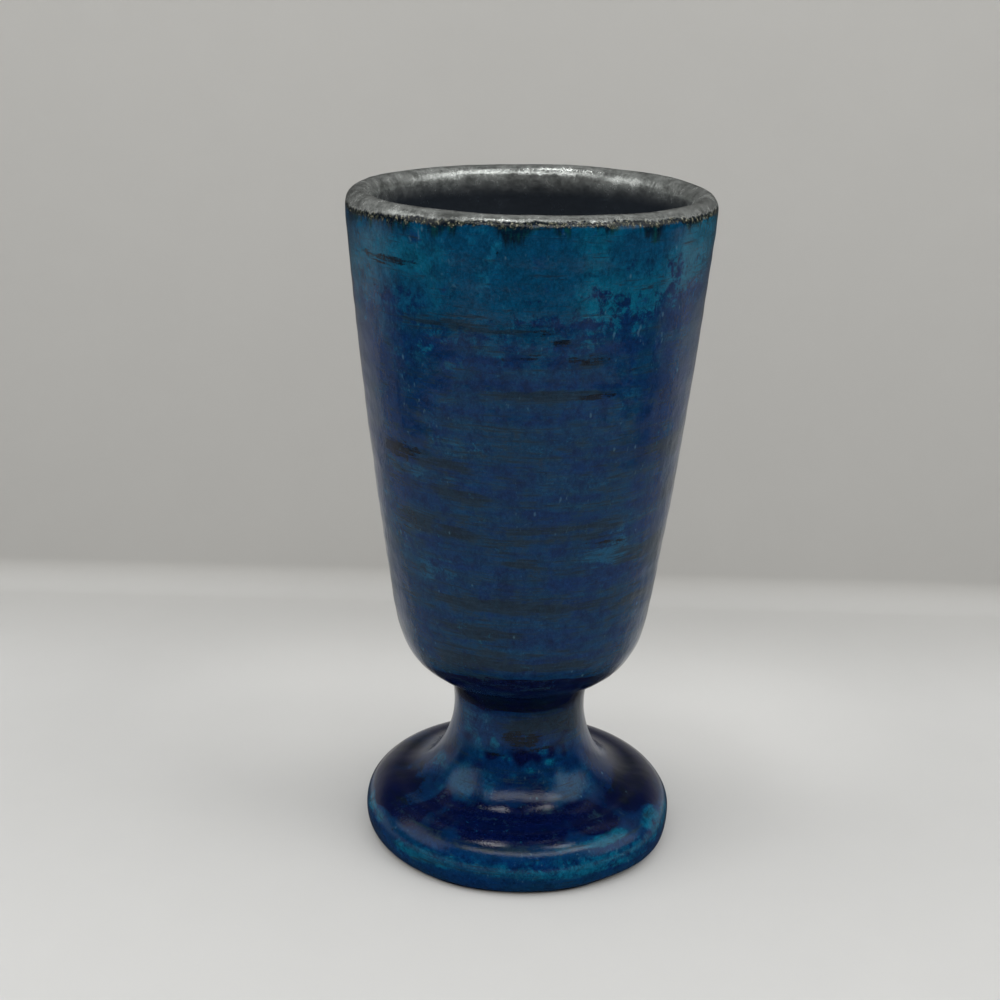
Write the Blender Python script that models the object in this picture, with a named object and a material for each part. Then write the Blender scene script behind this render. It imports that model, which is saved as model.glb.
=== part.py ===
"""Footed vase: a tapered cup of thrown earthenware, luted to a hollow pedestal foot and glazed.

Every piece is turned about the Z axis. The vase stands on Z = 0, and sizes are in metres.
An outline is a list of (radius, height) points. It climbs the outside of a piece, so the clay or
the glaze lies to the left of the line.
"""

import math

import bmesh
import bpy

# Foot and stem as seen from outside, from the ground up
FOOT_RADIUS = 0.0357
FOOT_UNDERCUT = 0.0039
FOOT_EDGE_HEIGHT = 0.0054
FOOT_SHOULDER = 0.0080
CREST_RISE = 0.0076
CREST_REACH = 0.0078
SWEEP_RISE = 0.0180
WAIST_RADIUS = 0.0151
WAIST_REACH = 0.0080
STEM_RISE = 0.0090
STEM_LOW_REACH = 0.0036
STEM_TOP_REACH = 0.0027
JOINT_FLARE = 0.0013

# Cup as seen from outside, above the joint
CUP_HEIGHT = 0.1100
BELLY_RADIUS = 0.0291
BELLY_RISE = 0.0162
BELLY_UNDER_REACH = 0.0082
BELLY_UNDER_SLOPE = 0.28
BELLY_SIDE_REACH = 0.0100
WALL_SWELL = 0.0006
NECK_DROP = 0.0103
LIP_FLARE = 0.0005
LIP_RADIUS = 0.0394
LIP_DROP = 0.0034
LIP_THICKNESS = 0.0058

# Inside of the clay
CUP_WALL = 0.0032
CUP_FLOOR = 0.0055
FLOOR_REACH = 0.0130
PEDESTAL_WALL = 0.0050
PEDESTAL_WEB = 0.0050
RING_WIDTH = 0.0040

# Glaze coats, and the luting slip with the scored rings that key it
COAT_THICKNESS = 0.0007
GLAZE_LIFT = 0.0004
SLIP_THICKNESS = 0.0010
KEY_RINGS = 2
KEY_WIDTH = 0.0020
KEY_DEPTH = 0.0010

# Clearance kept between pieces that touch on the fired vase
SEAT_GAP = 0.0003

# Fineness of the turned surfaces
SEGMENTS = 40
EDGE_STEPS = 4
SHOULDER_STEPS = 5
SWEEP_STEPS = 6
STEM_STEPS = 3
BELLY_STEPS = 6
WALL_STEPS = 3
LIP_STEPS = 8
FLOOR_STEPS = 5
DOME_STEPS = 3
SHARP_ANGLE = math.radians(40)
WELD_DISTANCE = 1e-7

# Sizes that follow from those above
JOINT_HEIGHT = FOOT_EDGE_HEIGHT + CREST_RISE + SWEEP_RISE + STEM_RISE
JOINT_RADIUS = WAIST_RADIUS + JOINT_FLARE
VASE_HEIGHT = JOINT_HEIGHT + CUP_HEIGHT
LIP_HEIGHT = VASE_HEIGHT - LIP_DROP
COAT_SEAT = COAT_THICKNESS + SEAT_GAP
CUP_SHELL = CUP_WALL + 2 * COAT_SEAT


def bezier(start, start_handle, end_handle, end, steps):
    """Points along a cubic curve, both ends included."""
    points = []
    for step in range(steps + 1):
        t = step / steps
        s = 1 - t
        weights = (s**3, 3 * s * s * t, 3 * s * t * t, t**3)
        corners = (start, start_handle, end_handle, end)
        points.append(tuple(sum(w * c[i] for w, c in zip(weights, corners)) for i in (0, 1)))
    return points


def ellipse(centre, radius, rise, first, last, steps):
    """Points along part of an ellipse, between two angles measured up from the outward direction."""
    points = []
    for step in range(steps + 1):
        angle = first + (last - first) * step / steps
        points.append((centre[0] + radius * math.cos(angle), centre[1] + rise * math.sin(angle)))
    return points


def offset(line, depth):
    """The line moved into the piece by depth. A point on the axis stays on it."""
    moved = []
    for i, (radius, height) in enumerate(line):
        before = line[max(i - 1, 0)]
        after = line[min(i + 1, len(line) - 1)]
        along = (after[0] - before[0], after[1] - before[1])
        length = math.hypot(*along)
        inward = (-along[1] / length, along[0] / length)
        new_radius = radius + inward[0] * depth if radius > WELD_DISTANCE else 0.0
        moved.append((new_radius, height + inward[1] * depth))
    return moved


def pedestal_line():
    """Outside of the glazed pedestal, from the lower edge of its glaze to the joint."""
    foot_centre = (FOOT_RADIUS - FOOT_UNDERCUT, FOOT_EDGE_HEIGHT)
    glaze_start = -math.asin(1 - GLAZE_LIFT / FOOT_EDGE_HEIGHT)
    edge = ellipse(foot_centre, FOOT_UNDERCUT, FOOT_EDGE_HEIGHT, glaze_start, 0, EDGE_STEPS)
    crest_radius = FOOT_RADIUS - FOOT_SHOULDER
    crest_height = FOOT_EDGE_HEIGHT + CREST_RISE
    shoulder_centre = (crest_radius, FOOT_EDGE_HEIGHT)
    shoulder = ellipse(shoulder_centre, FOOT_SHOULDER, CREST_RISE, 0, math.pi / 2, SHOULDER_STEPS)
    waist = (WAIST_RADIUS, crest_height + SWEEP_RISE)
    sweep = bezier(
        shoulder[-1],
        (crest_radius - CREST_REACH, crest_height),
        (WAIST_RADIUS, waist[1] - WAIST_REACH),
        waist,
        SWEEP_STEPS,
    )
    top = (JOINT_RADIUS, JOINT_HEIGHT - SEAT_GAP)
    stem = bezier(
        waist,
        (WAIST_RADIUS, waist[1] + STEM_LOW_REACH),
        (JOINT_RADIUS, top[1] - STEM_TOP_REACH),
        top,
        STEM_STEPS,
    )
    return edge + shoulder[1:] + sweep[1:] + stem[1:]


def wall_line():
    """Outside of the cup's wall, from the belly to the neck below the lip."""
    belly_height = JOINT_HEIGHT + BELLY_RISE
    neck_radius = LIP_RADIUS - LIP_FLARE
    neck_height = VASE_HEIGHT - NECK_DROP
    points = []
    for step in range(WALL_STEPS + 1):
        t = step / WALL_STEPS
        swell = 4 * t * (1 - t) * WALL_SWELL
        radius = BELLY_RADIUS + t * (neck_radius - BELLY_RADIUS) + swell
        points.append((radius, belly_height + t * (neck_height - belly_height)))
    return points


def cup_outer_line():
    """Outside of the glazed cup, from the joint to the widest line of the lip."""
    wall = wall_line()
    lean = (wall[1][0] - wall[0][0]) / (wall[1][1] - wall[0][1])
    joint = (JOINT_RADIUS, JOINT_HEIGHT)
    belly = bezier(
        joint,
        (JOINT_RADIUS + BELLY_UNDER_REACH, JOINT_HEIGHT + BELLY_UNDER_SLOPE * BELLY_UNDER_REACH),
        (wall[0][0] - lean * BELLY_SIDE_REACH, wall[0][1] - BELLY_SIDE_REACH),
        wall[0],
        BELLY_STEPS,
    )
    return belly + wall[1:] + [(LIP_RADIUS, LIP_HEIGHT)]


def lip_line(first):
    """Over the top of the lip, from an angle above its widest line to its inner side."""
    centre = (LIP_RADIUS - LIP_THICKNESS / 2, LIP_HEIGHT)
    return ellipse(centre, LIP_THICKNESS / 2, LIP_DROP, first, math.pi, LIP_STEPS)


def cup_inner_line():
    """Inside of the glazed cup, from the neck down to the middle of the floor."""
    wall = offset(wall_line(), CUP_SHELL)[::-1]
    foot = wall[-1]
    lean = (wall[-2][0] - foot[0]) / (wall[-2][1] - foot[1])
    floor_height = cup_face_height() + CUP_FLOOR + COAT_SEAT
    drop = foot[1] - floor_height
    floor = bezier(
        foot,
        (foot[0] - lean * drop, floor_height),
        (FLOOR_REACH, floor_height),
        (0.0, floor_height),
        FLOOR_STEPS,
    )
    return wall + floor[1:]


def cup_face_height():
    """Height of the scored face under the cup."""
    return offset(cup_outer_line(), COAT_SEAT)[0][1]


def slip_top_height():
    """Height of the upper face of the slip, between its ridges."""
    return cup_face_height() - SEAT_GAP


def pedestal_face_height():
    """Height of the scored face on top of the pedestal."""
    return slip_top_height() - SLIP_THICKNESS - SEAT_GAP


def luting_radius():
    """Radius of the slip and of the pedestal's scored face, inside the glaze."""
    return JOINT_RADIUS - COAT_SEAT


def scored_face(height, depth, width):
    """A face from the axis outwards, with ring grooves or ridges that reach up by depth."""
    pitch = luting_radius() / (KEY_RINGS + 1)
    points = [(0.0, height)]
    for ring in range(1, KEY_RINGS + 1):
        inner = ring * pitch - width / 2
        outer = ring * pitch + width / 2
        points += [(inner, height), (inner, height + depth), (outer, height + depth), (outer, height)]
    return points


def coat(line):
    """A closed glaze coat under an outside line."""
    return line + offset(line, COAT_THICKNESS)[::-1]


def cup_body_outline():
    """Clay of the cup: scored face, outer side, lip, inner side and floor."""
    visible = cup_outer_line()[:-1] + lip_line(0.0) + cup_inner_line()
    face = scored_face(cup_face_height(), KEY_DEPTH, KEY_WIDTH)
    return face + offset(visible, COAT_SEAT)


def liner_outline():
    """Glaze over the lip and inside the cup, from a gap above the outer glaze."""
    return coat(lip_line(SEAT_GAP / LIP_DROP) + cup_inner_line())


def pedestal_body_outline():
    """Clay of the pedestal: hollow, foot ring, outer side and scored face."""
    outer = offset(pedestal_line(), COAT_SEAT)
    face_height = pedestal_face_height()
    outer[-1] = (luting_radius(), face_height)
    hollow = offset(pedestal_line(), COAT_SEAT + PEDESTAL_WALL)
    crest = EDGE_STEPS + SHOULDER_STEPS
    bore = hollow[crest : crest + SWEEP_STEPS + 1]
    dome_rise = face_height - KEY_DEPTH - PEDESTAL_WEB - bore[-1][1]
    dome = ellipse((0.0, bore[-1][1]), bore[-1][0], dome_rise, math.pi / 2, 0, DOME_STEPS)
    dome[0] = (0.0, dome[0][1])
    rest_radius = FOOT_RADIUS - FOOT_UNDERCUT
    ring = [(rest_radius - RING_WIDTH, 0.0), (rest_radius, 0.0)]
    face = scored_face(face_height, -KEY_DEPTH, KEY_WIDTH)
    return dome[:-1] + bore[::-1] + ring + outer + face[::-1]


def slip_outline():
    """Slip between the two scored faces, with ridges that fill their rings."""
    depth = KEY_DEPTH - SEAT_GAP
    width = KEY_WIDTH - 2 * SEAT_GAP
    top = slip_top_height()
    bottom = top - SLIP_THICKNESS
    lower = scored_face(bottom, -depth, width) + [(luting_radius(), bottom)]
    upper = scored_face(top, depth, width) + [(luting_radius(), top)]
    return lower + upper[::-1]


def make_material(name, colour, roughness, metallic):
    """A Principled material of one colour."""
    material = bpy.data.materials.new(name)
    material.use_nodes = True
    shader = material.node_tree.nodes["Principled BSDF"]
    shader.inputs["Base Color"].default_value = (*colour, 1.0)
    shader.inputs["Roughness"].default_value = roughness
    shader.inputs["Metallic"].default_value = metallic
    return material


def turn(name, outline, base, material, parent):
    """Turns an outline about the Z axis into a closed object whose origin is at height base."""
    shape = bmesh.new()
    verts = [shape.verts.new((radius, 0.0, height - base)) for radius, height in outline]
    edges = [shape.edges.new(pair) for pair in zip(verts, verts[1:])]
    if outline[0][0] > 0.0:
        edges.append(shape.edges.new((verts[-1], verts[0])))
    bmesh.ops.spin(
        shape,
        geom=verts + edges,
        cent=(0.0, 0.0, 0.0),
        axis=(0.0, 0.0, 1.0),
        angle=2 * math.pi,
        steps=SEGMENTS,
        use_merge=True,
    )
    bmesh.ops.remove_doubles(shape, verts=shape.verts, dist=WELD_DISTANCE)
    bmesh.ops.recalc_face_normals(shape, faces=shape.faces)
    mesh = bpy.data.meshes.new(name)
    shape.to_mesh(mesh)
    shape.free()
    mesh.shade_smooth()
    mesh.set_sharp_from_angle(angle=SHARP_ANGLE)
    mesh.materials.append(material)
    piece = bpy.data.objects.new(name, mesh)
    piece.location = (0.0, 0.0, base)
    piece.parent = parent
    bpy.context.scene.collection.objects.link(piece)


def main():
    for old in list(bpy.data.objects):
        bpy.data.objects.remove(old)

    clay = make_material("buff_earthenware", (0.56, 0.43, 0.31), 0.85, 0.0)
    slip = make_material("fired_slip", (0.50, 0.37, 0.26), 0.90, 0.0)
    blue = make_material("blue_glaze", (0.010, 0.055, 0.180), 0.08, 0.0)
    pewter = make_material("pewter_glaze", (0.20, 0.20, 0.21), 0.30, 0.80)

    vase = bpy.data.objects.new("vase", None)
    bpy.context.scene.collection.objects.link(vase)

    turn("pedestal_body", pedestal_body_outline(), 0.0, clay, vase)
    turn("pedestal_glaze", coat(pedestal_line()), 0.0, blue, vase)
    turn("luting_slip", slip_outline(), JOINT_HEIGHT, slip, vase)
    turn("cup_body", cup_body_outline(), JOINT_HEIGHT, clay, vase)
    turn("cup_glaze", coat(cup_outer_line()), JOINT_HEIGHT, blue, vase)
    turn("liner_glaze", liner_outline(), JOINT_HEIGHT, pewter, vase)


main()
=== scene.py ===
"""Looks of the footed vase: brushed blue glaze, pewter-grey lip and lining, bare clay under the foot."""

import math

import bmesh
import bpy
import numpy as np
from mathutils import Matrix, Vector


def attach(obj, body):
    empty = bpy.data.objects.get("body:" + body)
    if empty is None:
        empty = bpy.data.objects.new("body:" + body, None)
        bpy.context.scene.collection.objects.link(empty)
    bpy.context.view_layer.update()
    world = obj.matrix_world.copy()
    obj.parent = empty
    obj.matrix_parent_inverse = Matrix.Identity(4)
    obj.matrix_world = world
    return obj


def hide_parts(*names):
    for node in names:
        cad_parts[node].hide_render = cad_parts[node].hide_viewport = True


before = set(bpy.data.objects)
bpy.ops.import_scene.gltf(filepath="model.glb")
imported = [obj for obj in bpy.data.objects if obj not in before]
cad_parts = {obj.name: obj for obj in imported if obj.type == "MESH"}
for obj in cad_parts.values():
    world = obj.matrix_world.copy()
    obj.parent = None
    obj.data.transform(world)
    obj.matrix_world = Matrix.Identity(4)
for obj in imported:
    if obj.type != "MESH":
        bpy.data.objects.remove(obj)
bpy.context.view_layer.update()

MM = 0.001

# Outline of the vase in millimetres. It is that of the solids, but for a fuller edge of the foot, a lower
# crest and a rounder belly in the glaze.
FOOT_RADIUS = 35.7
FOOT_UNDERCUT = 2.9
FOOT_EDGE_HEIGHT = 5.4
FOOT_SHOULDER = 8.0
CREST_RISE = 7.25
CREST_REACH = 7.8
SWEEP_RISE = 18.35
WAIST_RADIUS = 15.1
WAIST_REACH = 8.0
STEM_RISE = 9.0
STEM_LOW_REACH = 3.4
STEM_TOP_REACH = 2.9
FILLET = 2.2
JOINT_FLARE = 2.6
CUP_HEIGHT = 110.0
BELLY_RADIUS = 29.1
BELLY_RISE = 16.2
GLAZED_BELLY_RADIUS = 29.54
GLAZED_BELLY_RISE = 19.2
BELLY_UNDER_REACH = 8.2
BELLY_UNDER_SLOPE = 0.28
BELLY_SIDE_REACH = 10.0
WALL_SWELL = 0.6
NECK_DROP = 10.3
NECK_LEAN = 0.25
NECK_REACH = 2.4
LIP_FLARE = 0.5
LIP_RADIUS = 39.4
LIP_DROP = 3.4
LIP_REACH = 2.2
LIP_THICKNESS = 5.8
THROAT_TOP_REACH = 2.5
THROAT_LOW_REACH = 2.0
CUP_SHELL = 5.2
FLOOR_HEIGHT = 47.4
FLOOR_REACH = 13.0
COAT = 0.7
COAT_GAP = 0.3
GLAZE_LIFT = 0.4
RING_WIDTH = 4.0
RING_REACH = 2.2
RING_INNER_ROUND = 0.5
RING_OUTER_ROUND = 0.3
HOLLOW_OFFSET = 6.0
HOLLOW_TOP = 33.3
HOLLOW_REACH = 2.0
HOLLOW_LEAN = 0.3
JOINT_HEIGHT = FOOT_EDGE_HEIGHT + CREST_RISE + SWEEP_RISE + STEM_RISE
JOINT_RADIUS = WAIST_RADIUS + JOINT_FLARE
HEIGHT = JOINT_HEIGHT + CUP_HEIGHT
LIP_HEIGHT = HEIGHT - LIP_DROP

# Points round a coat and round the clay, and steps along the parts of the outlines
COLUMNS = 400
CLAY_COLUMNS = 240
EDGE_STEPS = 18
SHOULDER_STEPS = 30
SWEEP_STEPS = 50
STEM_STEPS = 24
BELLY_STEPS = 44
WALL_STEPS = 110
FLARE_STEPS = 14
LIP_STEPS = 40
THROAT_STEPS = 8
INSIDE_STEPS = 40
FLOOR_STEPS = 30
DOME_STEPS = 14
RING_SIDE_STEPS = 10
INNER_ROUND_STEPS = 6
RING_FLAT_POINTS = 8
OUTER_ROUND_STEPS = 4
CREST_ROW = EDGE_STEPS + SHOULDER_STEPS
WAIST_ROW = CREST_ROW + SWEEP_STEPS
UNDER_COAT_ROWS = slice(2, -4, 2)

# The back of a coat has every twelfth point. Limits: on the axis in mm, welding in m, sharp edges in degrees.
BACK_STEP = 12
ON_AXIS = 1e-6
WELD = 1e-7
SHARP_ANGLE = 50

# Unevenness of hand work, in millimetres, with the lobe's angles in degrees and the other turns in radians.
# Pairs are heights where something starts and where it is full.
OVAL = 0.16
OVAL_TURN = 0.7
TRIANGLE = 0.07
TRIANGLE_TURN = -1.1
THROWING_RING = 0.022
RING_PITCH = 5.4
RING_WANDER = 1.3
RING_WANDER_LENGTH = 13
BROAD_FLOW = 0.040
BROAD_FLOW_SIZE = 17.0
FINE_FLOW = 0.012
FINE_FLOW_SIZE = 5.0
CALM_FOOT = 0.3
CALM_HEIGHTS = (28, 44)
LOBE = 0.9
LOBE_MIDDLE = 52
LOBE_WIDTH = 24
LOBE_FROM_ABOVE = (13.0, 6.0)
LOBE_FROM_BELOW = (GLAZE_LIFT, 2.6)
FADE_RADIUS = 6.0
RIPPLE_RADIUS = 34.0


# Outlines

def bezier(a, b, c, d, steps):
    t = np.linspace(0, 1, steps + 1)[:, None]
    s = 1 - t
    a, b, c, d = (np.array(p, float) for p in (a, b, c, d))
    return s**3 * a + 3 * s**2 * t * b + 3 * s * t**2 * c + t**3 * d


def ellipse(centre, radius, rise, first, last, steps):
    t = np.linspace(first, last, steps + 1)
    return np.stack([centre[0] + radius * np.cos(t), centre[1] + rise * np.sin(t)], 1)


def inward(line):
    """Unit normals that point into the piece, for a line that climbs its outside."""
    along = np.gradient(line, axis=0)
    along /= np.linalg.norm(along, axis=1)[:, None]
    return np.stack([-along[:, 1], along[:, 0]], 1)


def offset(line, depth):
    moved = line + inward(line) * depth
    moved[:, 0] = np.where(line[:, 0] > ON_AXIS, moved[:, 0], 0)
    return moved


def join(*lines):
    """Lines end to end, without the points they share."""
    return np.concatenate([lines[0]] + [line[1:] for line in lines[1:]])


def pedestal_line():
    start = -math.asin(1 - GLAZE_LIFT / FOOT_EDGE_HEIGHT)
    rest = FOOT_RADIUS - FOOT_UNDERCUT
    edge = ellipse((rest, FOOT_EDGE_HEIGHT), FOOT_UNDERCUT, FOOT_EDGE_HEIGHT, start, 0, EDGE_STEPS)
    crest = (FOOT_RADIUS - FOOT_SHOULDER, FOOT_EDGE_HEIGHT + CREST_RISE)
    middle = (crest[0], FOOT_EDGE_HEIGHT)
    shoulder = ellipse(middle, FOOT_SHOULDER, CREST_RISE, 0, math.pi / 2, SHOULDER_STEPS)
    waist = (WAIST_RADIUS, crest[1] + SWEEP_RISE)
    level, upright = (crest[0] - CREST_REACH, crest[1]), (waist[0], waist[1] - WAIST_REACH)
    sweep = bezier(crest, level, upright, waist, SWEEP_STEPS)
    top = (JOINT_RADIUS, JOINT_HEIGHT)
    upright, flared = (waist[0], waist[1] + STEM_LOW_REACH), (top[0] - FILLET, top[1] - STEM_TOP_REACH)
    stem = bezier(waist, upright, flared, top, STEM_STEPS)
    return join(edge, shoulder, sweep, stem)


def wall_line(steps, belly_radius=BELLY_RADIUS, belly_rise=BELLY_RISE):
    t = np.linspace(0, 1, steps + 1)
    low, high = JOINT_HEIGHT + belly_rise, HEIGHT - NECK_DROP
    radius = belly_radius + t * (LIP_RADIUS - LIP_FLARE - belly_radius) + 4 * t * (1 - t) * WALL_SWELL
    return np.stack([radius, low + t * (high - low)], 1)


def cup_line():
    wall = wall_line(WALL_STEPS, GLAZED_BELLY_RADIUS, GLAZED_BELLY_RISE)
    lean = (wall[1, 0] - wall[0, 0]) / (wall[1, 1] - wall[0, 1])
    joint = (JOINT_RADIUS, JOINT_HEIGHT)
    under = (joint[0] + BELLY_UNDER_REACH, joint[1] + BELLY_UNDER_SLOPE * BELLY_UNDER_REACH)
    side = (wall[0, 0] - lean * BELLY_SIDE_REACH, wall[0, 1] - BELLY_SIDE_REACH)
    belly = bezier(joint, under, side, wall[0], BELLY_STEPS)
    neck = wall[-1]
    lip = (LIP_RADIUS, LIP_HEIGHT)
    leaning, upright = (neck[0] + NECK_LEAN, neck[1] + NECK_REACH), (lip[0], lip[1] - LIP_REACH)
    flare = bezier(neck, leaning, upright, lip, FLARE_STEPS)
    return join(belly, wall, flare)


def liner_line():
    half = LIP_THICKNESS / 2
    lip = ellipse((LIP_RADIUS - half, LIP_HEIGHT), half, LIP_DROP, 0, math.pi, LIP_STEPS)
    wall = offset(wall_line(INSIDE_STEPS), CUP_SHELL)[::-1]
    foot = wall[-1]
    lean = (wall[-2, 0] - foot[0]) / (wall[-2, 1] - foot[1])
    corner = (foot[0] - lean * (foot[1] - FLOOR_HEIGHT), FLOOR_HEIGHT)
    under_lip = (lip[-1, 0], lip[-1, 1] - THROAT_TOP_REACH)
    over_wall = (wall[0, 0], wall[0, 1] + THROAT_LOW_REACH)
    throat = bezier(lip[-1], under_lip, over_wall, wall[0], THROAT_STEPS)
    floor = bezier(foot, corner, (FLOOR_REACH, FLOOR_HEIGHT), (0, FLOOR_HEIGHT), FLOOR_STEPS)
    return join(lip, throat, wall, floor)


def clay_line():
    """The clay of the foot: down its hollow, round its ring, up under the glaze and over the top."""
    glazed = pedestal_line()
    hollow = offset(glazed, HOLLOW_OFFSET)[CREST_ROW:WAIST_ROW + 1][::-1]
    dome_rise = HOLLOW_TOP - hollow[0, 1]
    dome = ellipse((0, hollow[0, 1]), hollow[0, 0], dome_rise, math.pi / 2, 0, DOME_STEPS)
    dome[0, 0] = 0
    outer = FOOT_RADIUS - FOOT_UNDERCUT
    inner = outer - RING_WIDTH
    leaning = hollow[-1] + (HOLLOW_LEAN, -HOLLOW_REACH)
    small, smaller = RING_INNER_ROUND, RING_OUTER_ROUND
    side = bezier(hollow[-1], leaning, (inner, RING_REACH), (inner, small), RING_SIDE_STEPS)
    down, out = 1.5 * math.pi, 1.8 * math.pi
    inner_round = ellipse((inner + small, small), small, small, math.pi, down, INNER_ROUND_STEPS)
    flat = np.linspace((inner + small, 0.0), (outer - smaller, 0.0), RING_FLAT_POINTS)
    outer_round = ellipse((outer - smaller, smaller), smaller, smaller, down, out, OUTER_ROUND_STEPS)
    under_coat = offset(glazed, COAT + COAT_GAP)[UNDER_COAT_ROWS]
    lid = np.array([(0.0, under_coat[-1, 1])])
    return np.concatenate([join(dome, hollow, side, inner_round, flat, outer_round), under_coat, lid])


# Turned surfaces with the unevenness of hand work

def away(angle, middle):
    """Degrees from a middle angle, the short way round."""
    return (np.degrees(angle) - middle + 180) % 360 - 180


def smooth(value, low, high):
    t = np.clip((value - low) / (high - low), 0, 1)
    return t * t * (3 - 2 * t)


def ripple(angle, height, size, seed, terms=40, stretch=1.0):
    """Smooth noise over angle and height in mm, of about unit spread and with no seam."""
    rng = np.random.default_rng(seed)
    total = np.zeros(np.broadcast(angle, height).shape)
    for _ in range(terms):
        turn = rng.uniform(0, 2 * math.pi)
        pace = 2 * math.pi / size * rng.uniform(0.6, 1.5)
        around = round(pace * math.cos(turn) * RIPPLE_RADIUS / stretch)
        total += np.cos(around * angle + pace * math.sin(turn) * height + rng.uniform(0, 2 * math.pi))
    return total / math.sqrt(terms / 2)


def unevenness(angle, height):
    """Outward shift of the surface in mm: wobble, throwing rings, flow of the glaze, a lobe of the foot."""
    share = height / HEIGHT
    oval = OVAL * share**2 * np.cos(2 * angle + OVAL_TURN)
    wobble = oval + TRIANGLE * share * np.cos(3 * angle + TRIANGLE_TURN)
    on_cup = CALM_FOOT + (1 - CALM_FOOT) * smooth(height, *CALM_HEIGHTS)
    turn = 2 * math.pi * height / RING_PITCH + angle + RING_WANDER * np.sin(height / RING_WANDER_LENGTH)
    rings = THROWING_RING * on_cup * np.sin(turn)
    flow = BROAD_FLOW * ripple(angle, height, BROAD_FLOW_SIZE, 3)
    flow = flow + FINE_FLOW * on_cup * ripple(angle, height, FINE_FLOW_SIZE, 4)
    lobe = LOBE * np.exp(-(away(angle, LOBE_MIDDLE) / LOBE_WIDTH)**2)
    lobe = lobe * smooth(height, *LOBE_FROM_ABOVE) * smooth(height, *LOBE_FROM_BELOW)
    return wobble + rings + flow + lobe


def run_up(line):
    """Length along a line up to each of its points."""
    return np.concatenate([[0], np.cumsum(np.hypot(*np.diff(line, axis=0).T))])


def turned(name, outline, shown, material, columns=COLUMNS):
    """Turns an outline (mm) about Z. The first shown rows are uneven; the others are a coat's back."""
    angle = np.linspace(-math.pi, math.pi, columns, endpoint=False)
    out = np.zeros_like(outline)
    if shown:
        out[:shown] = -inward(outline[:shown])
    radius = outline[:, :1] + np.zeros(columns)
    height = outline[:, 1:] + np.zeros(columns)
    shift = unevenness(angle[None], height)
    shift[shown:] = 0
    axis = outline[:, :1] < ON_AXIS
    fade = np.clip(outline[:, :1] / FADE_RADIUS, 0, 1)
    radius = np.where(axis, 0, radius + out[:, :1] * shift * fade)
    height = height + out[:, 1:] * shift * fade
    places = np.stack([radius * np.sin(angle), -radius * np.cos(angle), height], -1) * MM
    rows = len(outline)
    closed = outline[0, 0] > ON_AXIS
    last = rows if closed else rows - 1
    r = np.arange(last)[:, None]
    c = np.arange(columns)[None]
    nr, nc = (r + 1) % rows, (c + 1) % columns
    quads = [r * columns + c, r * columns + nc, nr * columns + nc, nr * columns + c]
    mesh = bpy.data.meshes.new(name)
    mesh.from_pydata(places.reshape(-1, 3), [], np.stack(quads, -1).reshape(-1, 4))
    run = run_up(np.vstack([outline, outline[:1]]))
    v = run / run[-1]
    u = np.arange(columns + 1) / columns
    corners = [(c, r), (c + 1, r), (c + 1, r + 1), (c, r + 1)]
    spots = [np.stack(np.broadcast_arrays(u[i], v[j]), -1).reshape(-1, 2) for i, j in corners]
    mesh.uv_layers.new(name="OFBake").data.foreach_set("uv", np.stack(spots, 1).ravel())
    piece = bpy.data.objects.new(name, mesh)
    bpy.context.scene.collection.objects.link(piece)
    mesh.materials.append(material)
    return piece, np.broadcast_to(angle, height.shape), height


def finish_mesh(piece, layers):
    """Stores layers of numbers on the points, welds the axis and shades the piece smooth."""
    mesh = piece.data
    for name, values in layers.items():
        store = mesh.attributes.new(name, "FLOAT", "POINT")
        store.data.foreach_set("value", np.ascontiguousarray(values, np.float32).ravel())
    welder = bmesh.new()
    welder.from_mesh(mesh)
    bmesh.ops.remove_doubles(welder, verts=welder.verts, dist=WELD)
    welder.to_mesh(mesh)
    welder.free()
    mesh.shade_smooth()
    mesh.set_sharp_from_angle(angle=math.radians(SHARP_ANGLE))


# Materials

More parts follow.
